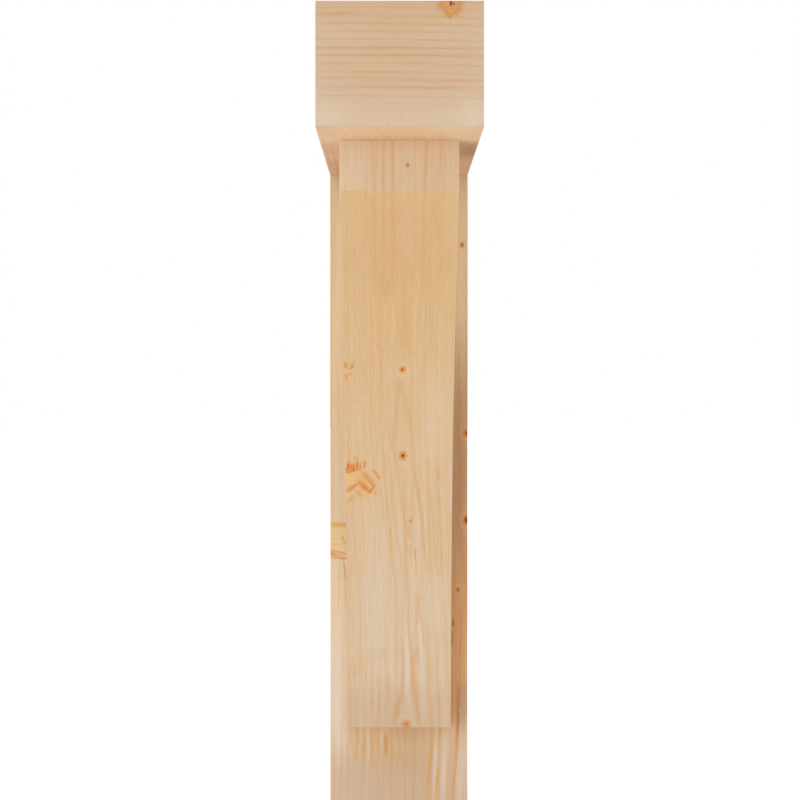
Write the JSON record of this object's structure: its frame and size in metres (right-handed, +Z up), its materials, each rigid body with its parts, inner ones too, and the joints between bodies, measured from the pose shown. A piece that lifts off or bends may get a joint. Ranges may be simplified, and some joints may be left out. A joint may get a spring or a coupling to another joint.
{
  "type": "block bracket",
  "caption": "Timber wall bracket: a square-ended leg on the wall, a square-ended arm across its head and an arched brace in the corner between them, to carry a beam, shelf or eave.",
  "frame": {"origin": "middle of the back face that bears on the wall, on the leg, halfway up the bracket", "axes": "+Z up, +Y into the wall, +X to the right as the bracket is seen from the front; the arm reaches towards -Y"},
  "size_m": [0.1524, 0.508, 0.8128],
  "materials": {
    "leg_wood": "bare planed softwood with straight orange latewood lines and small knots, matte",
    "arm_wood": "bare planed softwood with level growth-ring lines and a knot at the top edge, matte",
    "brace_wood": "bare sawn and sanded softwood with flame figure, small knots and orange resin marks, matte"
  },
  "bodies": {
    "root": {"wall_leg": "leg_wood", "top_arm": "arm_wood", "curved_brace": "brace_wood"}
  },
  "joints": []
}
